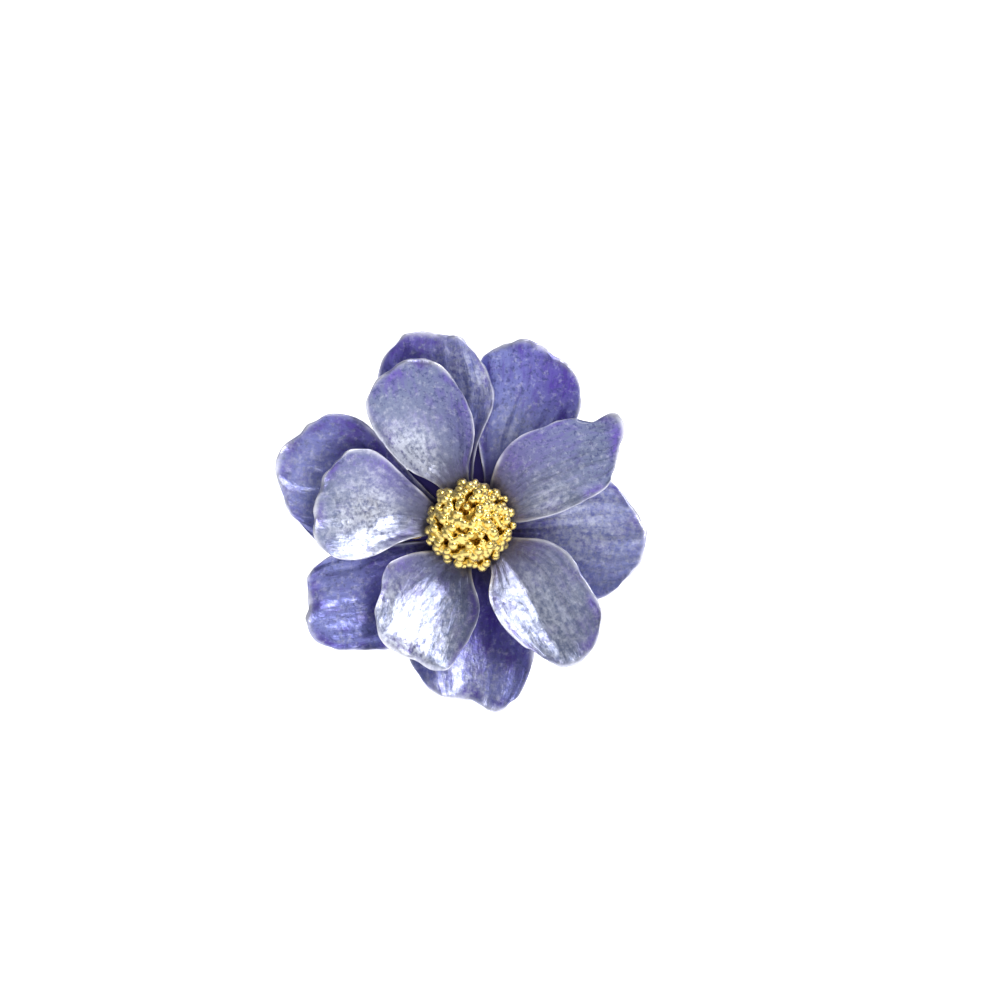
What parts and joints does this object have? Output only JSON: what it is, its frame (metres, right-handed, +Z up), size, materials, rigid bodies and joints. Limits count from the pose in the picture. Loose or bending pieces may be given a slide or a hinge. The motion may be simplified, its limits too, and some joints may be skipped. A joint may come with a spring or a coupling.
{
  "type": "flower hat pin",
  "caption": "Flower hat pin: six outer and five inner pressed metal petals in mottled lavender pearl enamel around a gold stamen cluster, on a round back plate with two pointed posts and locking clutches.",
  "frame": {"origin": "on the flower's axis, in the rear face of the back plate, which lies against the hat", "axes": "the flower faces -Y, +Z is up, and the posts point along +Y, away from the flower and into the hat"},
  "size_m": [0.04, 0.0183, 0.041],
  "materials": {
    "outer_enamel": "mottled lavender and indigo pearl enamel, glossy",
    "inner_enamel": "greyer lavender pearl enamel, glossy",
    "gold_plate": "bright gold plating on a casting",
    "fastening_brass": "pale gold plating, satin",
    "bearing_steel": "polished steel balls",
    "spring_steel": "bright spring wire"
  },
  "bodies": {
    "flower": {"outer_petal_1": "outer_enamel", "outer_petal_2": "outer_enamel", "outer_petal_3": "outer_enamel", "outer_petal_4": "outer_enamel", "outer_petal_5": "outer_enamel", "outer_petal_6": "outer_enamel", "inner_petal_1": "inner_enamel", "inner_petal_2": "inner_enamel", "inner_petal_3": "inner_enamel", "inner_petal_4": "inner_enamel", "inner_petal_5": "inner_enamel", "stamen_cluster": "gold_plate", "back_plate": "fastening_brass", "layer_spacer": "fastening_brass", "centre_rivet": "fastening_brass", "post_left": "fastening_brass", "post_right": "fastening_brass"},
    "clutch_left": {"clutch_body_left": "fastening_brass", "clutch_spring_left": "spring_steel"},
    "cap_left": {"pull_cap_left": "fastening_brass", "ball_cage_left": "fastening_brass", "clutch_balls_left": "bearing_steel"},
    "clutch_right": {"clutch_body_right": "fastening_brass", "clutch_spring_right": "spring_steel"},
    "cap_right": {"pull_cap_right": "fastening_brass", "ball_cage_right": "fastening_brass", "clutch_balls_right": "bearing_steel"}
  },
  "joints": [
    {"name": "clutch_left_slide", "type": "slide", "parent": "flower", "child": "clutch_left", "axis": [0, 1, 0], "range_m": [0, 0.012]},
    {"name": "cap_left_pull", "type": "slide", "parent": "clutch_left", "child": "cap_left", "axis": [0, 1, 0], "range_m": [0, 0.0008], "stiffness_N_per_m": 600, "springref_m": -0.001, "deforming": ["clutch_spring_left"]},
    {"name": "clutch_right_slide", "type": "slide", "parent": "flower", "child": "clutch_right", "axis": [0, 1, 0], "range_m": [0, 0.012]},
    {"name": "cap_right_pull", "type": "slide", "parent": "clutch_right", "child": "cap_right", "axis": [0, 1, 0], "range_m": [0, 0.0008], "stiffness_N_per_m": 600, "springref_m": -0.001, "deforming": ["clutch_spring_right"]}
  ]
}
